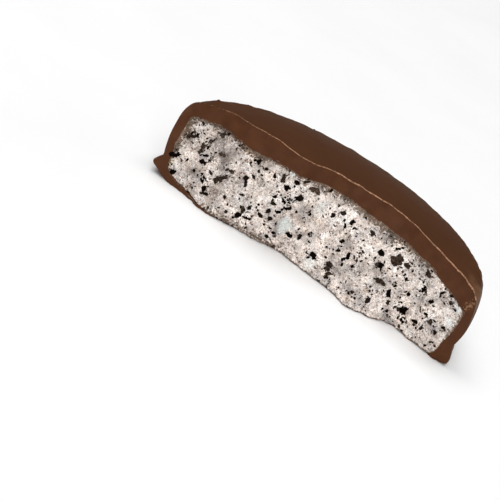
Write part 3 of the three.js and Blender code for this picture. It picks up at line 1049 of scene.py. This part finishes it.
class SANDWICH_OT_broken_edge(bpy.types.Operator):
    """Model the thin lip along the top of the break, tan with a painted glint, and the chips at its right
    end
    """

    bl_idname = "sandwich.broken_edge"
    bl_label = "Broken Edge"

    def execute(self, context):
        # The lip's tan colour is a painted highlight: the glint of the sharp broken edge.
        finish = thin_chocolate_with_painted_glint()
        line = bpy.data.curves.new("painted_glint_lip", "CURVE")
        line.dimensions = "3D"
        line.bevel_depth = context.scene.sandwich.coat.lip_radius
        line.bevel_resolution = 1
        line.use_fill_caps = True
        points = self.top_edge()
        spline = line.splines.new("POLY")
        spline.points.add(len(points) - 1)
        for k, (x, y, z) in enumerate(points):
            spline.points[k].co = (x * MM, y * MM, z * MM, 1)
            slow, quick = noise.noise(Vector((x / 1.7, 5, z))), noise.noise(Vector((x / 0.35, 7, z)))
            uneven = max(LIP_THINNEST, 0.9 + 0.4 * slow + 0.5 * quick)
            spline.points[k].radius = uneven * between(LIP_SHARE, x)
        lip = bpy.data.objects.new("painted_glint_lip", line)
        bpy.context.collection.objects.link(lip)
        select_only(lip)
        bpy.ops.object.convert(target="MESH")
        lip = context.object
        lip.data.materials.append(finish)
        bpy.ops.object.shade_smooth()
        settle(lip, "chocolate")
        draws = Draws(SHAPE_SEED + 2)
        chips = joined_copies("edge_chips", grain_models(4, draws), self.chip_places(draws), finish)
        settle(chips, "chocolate")
        return {"FINISHED"}

    def top_edge(self):
        """The top edge of the break, from the left shoulder to just over the right one."""
        found = []
        for k in range(round(LIP_LEFT / LIP_STEP), round(LIP_RIGHT / LIP_STEP)):
            x = k * LIP_STEP
            y = 0
            for _ in range(3):
                z = crown_height(math.hypot(x, y)) - LIP_DROP * smoothstep(x, 33.6, 36.9) ** 1.5
                y = break_depth(x, z) + coat_relief(x, z)
            found.append((x, y + 0.05 + 0.12 * unevenness(x, 0, 0.8, 3), z - 0.02))
        return found

    def chip_places(self, draws):
        """Bits of thin chocolate below the right end of the lip, down to the corner of the ice cream."""
        places = []
        for _ in range(EDGE_CHIP_COUNT):
            along = draws.next()
            x, z = (
                start - run * along + EDGE_CHIP_SCATTER * (draws.next() + draws.next() - 1)
                for start, run in zip(EDGE_CHIP_START, EDGE_CHIP_RUN)
            )
            size = draws.between(*EDGE_CHIP_LENGTHS)
            y = break_depth(x, z) + coat_relief(x, z)
            turn = draws.between(0, math.pi)
            if x < EDGE_CHIP_LIMIT:
                place = placed((x, y, z), turn, (size, 0.35 * size, 0.6 * size))
                places.append((place, draws.next()))
        return places


def crumb_places():
    """The large crumbs, then smaller ones at drawn places: x, z, length, width, turn, paleness."""
    draws = Draws(CRUMB_SEED)
    found = list(LARGE_CRUMBS)
    while len(found) < CRUMB_COUNT:
        x = (2 * draws.next() - 1) * CORE_RADIUS
        z = draws.next() * (SHOULDER_HEIGHT + CROWN_RISE)
        length = CRUMB_LENGTH_MIN + CRUMB_LENGTH_SPREAD * draws.next() ** 2
        width = length * (0.5 + 0.45 * draws.next())
        turn = 180 * draws.next()
        clear = CRUMB_MARGIN + length / 2
        inside = abs(x) <= CORE_FOOT_RADIUS - clear and BASE_COAT + clear <= z <= core_top(x) - clear
        if inside and all(math.hypot(x - p[0], z - p[1]) > (length + p[2]) / 2 for p in found):
            found.append((x, z, length, width, turn, 0.5 * (turn / 180) ** 2))
    return found


class SANDWICH_OT_crumbs(bpy.types.Operator):
    """Model the cookie crumbs and specks that the break lays bare"""

    bl_idname = "sandwich.crumbs"
    bl_label = "Cookie Crumbs"

    def execute(self, context):
        finish = baked_cocoa_cookie()
        draws = Draws(SHAPE_SEED + 3)
        chips = chip_models(CHIP_MODELS, 1, draws)
        clumps = chip_models(CLUMP_MODELS, CLUMP_CHIPS, draws)
        grains = grain_models(GRAIN_MODELS, draws)
        small = [self.crumb(crumb) for crumb in crumb_places() if crumb[2] < CLUMP_LENGTH]
        large = [self.crumb(crumb) for crumb in crumb_places() if crumb[2] >= CLUMP_LENGTH]
        crumbs = joined_copies("cookie_crumbs", chips, small, finish)
        select_only(crumbs, joined_copies("clumps", clumps, large, finish))
        bpy.ops.object.join()
        specks = joined_copies("cookie_specks", grains, self.speck_places(context), finish)
        for piece in (crumbs, specks):
            settle(piece, "ice_cream")
        return {"FINISHED"}

    def crumb(self, crumb):
        """Where a crumb goes, a little sunk in the broken face."""
        x, z, length, width, turn, paleness = crumb
        thickness = min(width, CRUMB_THICKNESS_MAX)
        y = break_depth(x, z) + thickness * CRUMB_SUNK - CRUMB_LIFT
        size = CRUMB_SHOWN * length, thickness, CRUMB_SHOWN * width
        return placed((x, y, z), -math.radians(turn), size), paleness

    def speck_places(self, context):
        """Fine specks, closer together in dusty patches and around crumbs, and none in lumps of ice."""
        draws = Draws(SHAPE_SEED + 1)
        crumbs = crumb_places()
        places = []
        while len(places) < context.scene.sandwich.crumbs.speck_count:
            x, z = draws.between(*SPECKS_ACROSS), draws.between(*SPECKS_UP)
            length = SPECK_LENGTH_MIN + SPECK_LENGTH_SPREAD * draws.next() ** SPECK_SHORTNESS
            width = length * draws.between(0.2, 0.85)
            turn, chance = draws.between(0, math.pi), draws.next()
            paleness = draws.next() ** SPECK_DARKNESS
            if draws.next() < SPECKS_NEAR_CRUMBS:
                crumb = crumbs[int(len(crumbs) * draws.next())]
                away, direction = crumb[2] * draws.between(0.4, 1.3), draws.between(0, 2 * math.pi)
                x, z = crumb[0] + away * math.cos(direction), crumb[1] + away * math.sin(direction)
            dusty = 0.5 + 0.8 * unevenness(x, z, 3, 8)
            if inside_core(x, z) < 0.1 or chance > dusty or iciness(x, z) > 0.5:
                continue
            y = break_depth(x, z) + torn_relief(x, z) + 0.05 * length
            places.append((placed((x, y, z), turn, (length, 0.7 * width, width)), paleness))
        return places


# ---------------------------------------------------------------------------------------------
# The stage.

# The camera: its angles in degrees, and its distance, target, lens and sensor in millimetres. The
# target is given from the middle of the disc.
CAMERA_AZIMUTH = 8.2
CAMERA_ELEVATION = 20.76
CAMERA_ROLL = -31.01
CAMERA_DISTANCE = 398.74
CAMERA_TARGET = (-9.34, -1.99, -1.67)
CAMERA_LENS = 136.9
CAMERA_SENSOR = 36

# Softboxes: name, place and side in metres, and power in watts.
SOFTBOXES = (
    ("overhead", (-0.3, 0.1, 2.2), 2.2, 49),
    ("front", (0.4, -2.4, 1.5), 1.6, 47),
    ("far_right", (1.6, 1.2, 0.5), 0.8, 3),
)
STUDIO_GLOW = 0.06


class SANDWICH_OT_stage(bpy.types.Operator):
    """Set out the floor, the soft lights and the camera"""

    bl_idname = "sandwich.stage"
    bl_label = "Stage"

    def execute(self, context):
        self.floor()
        self.camera(context)
        self.lights(context)
        context.scene.view_settings.view_transform = "Standard"
        return {"FINISHED"}

    def floor(self):
        bpy.ops.object.select_all(action="DESELECT")
        bpy.ops.mesh.primitive_plane_add(size=8)
        floor = bpy.context.object
        floor.name = "floor"
        floor.data.materials.append(matt_paper())

    def camera(self, context):
        azimuth, elevation = math.radians(CAMERA_AZIMUTH), math.radians(CAMERA_ELEVATION)
        back = Vector((
            math.sin(azimuth) * math.cos(elevation),
            -math.cos(azimuth) * math.cos(elevation),
            math.sin(elevation),
        ))
        level = Vector((math.cos(azimuth), math.sin(azimuth), 0))
        facing = Matrix((level, back.cross(level), back)).transposed()
        rolled = facing @ Matrix.Rotation(math.radians(-CAMERA_ROLL), 3, "Z")
        place = DISC_PLACE + Vector(CAMERA_TARGET) * MM + back * CAMERA_DISTANCE * MM
        data = bpy.data.cameras.new("camera")
        data.lens, data.sensor_width = CAMERA_LENS, CAMERA_SENSOR
        data.clip_start, data.clip_end = 0.01, 20
        camera = bpy.data.objects.new("camera", data)
        context.collection.objects.link(camera)
        camera.matrix_world = Matrix.Translation(place) @ rolled.to_4x4()
        context.scene.camera = camera

    def lights(self, context):
        for name, place, side, power in SOFTBOXES:
            data = bpy.data.lights.new(name, "AREA")
            data.shape, data.size, data.energy = "SQUARE", side, power
            light = bpy.data.objects.new(name, data)
            context.collection.objects.link(light)
            light.location = place
            light.rotation_euler = (-light.location).to_track_quat("-Z", "Y").to_euler()
        world = bpy.data.worlds.new("studio")
        world.use_nodes = True
        background = world.node_tree.nodes["Background"]
        set_inputs(world.node_tree, background, {"Color": grey(1), "Strength": STUDIO_GLOW})
        context.scene.world = world


class SANDWICH_PT_sidebar(bpy.types.Panel):
    """Lists the steps that build the ice cream sandwich"""

    bl_idname = "SANDWICH_PT_sidebar"
    bl_label = "Ice Cream Sandwich"
    bl_space_type = "VIEW_3D"
    bl_region_type = "UI"
    bl_category = "Ice Cream Sandwich"

    def draw(self, context):
        settings = context.scene.sandwich
        for group in (settings.coat, settings.ice_cream, settings.crumbs):
            for name in group.__annotations__:
                self.layout.prop(group, name)
        for step in STEPS:
            self.layout.operator(step.bl_idname)


STEPS = (
    SANDWICH_OT_coat, SANDWICH_OT_ice_cream, SANDWICH_OT_broken_edge, SANDWICH_OT_crumbs,
    SANDWICH_OT_stage,
)
CLASSES = (CoatSettings, IceCreamSettings, CrumbSettings, SandwichSettings, *STEPS, SANDWICH_PT_sidebar)


def register():
    for cls in CLASSES:
        bpy.utils.register_class(cls)
    bpy.types.Scene.sandwich = bpy.props.PointerProperty(type=SandwichSettings)


def unregister():
    del bpy.types.Scene.sandwich
    for cls in reversed(CLASSES):
        bpy.utils.unregister_class(cls)


def main():
    register()
    bpy.ops.sandwich.coat()
    bpy.ops.sandwich.ice_cream()
    bpy.ops.sandwich.broken_edge()
    bpy.ops.sandwich.crumbs()
    bpy.ops.sandwich.stage()


if __name__ == "__main__":
    main()
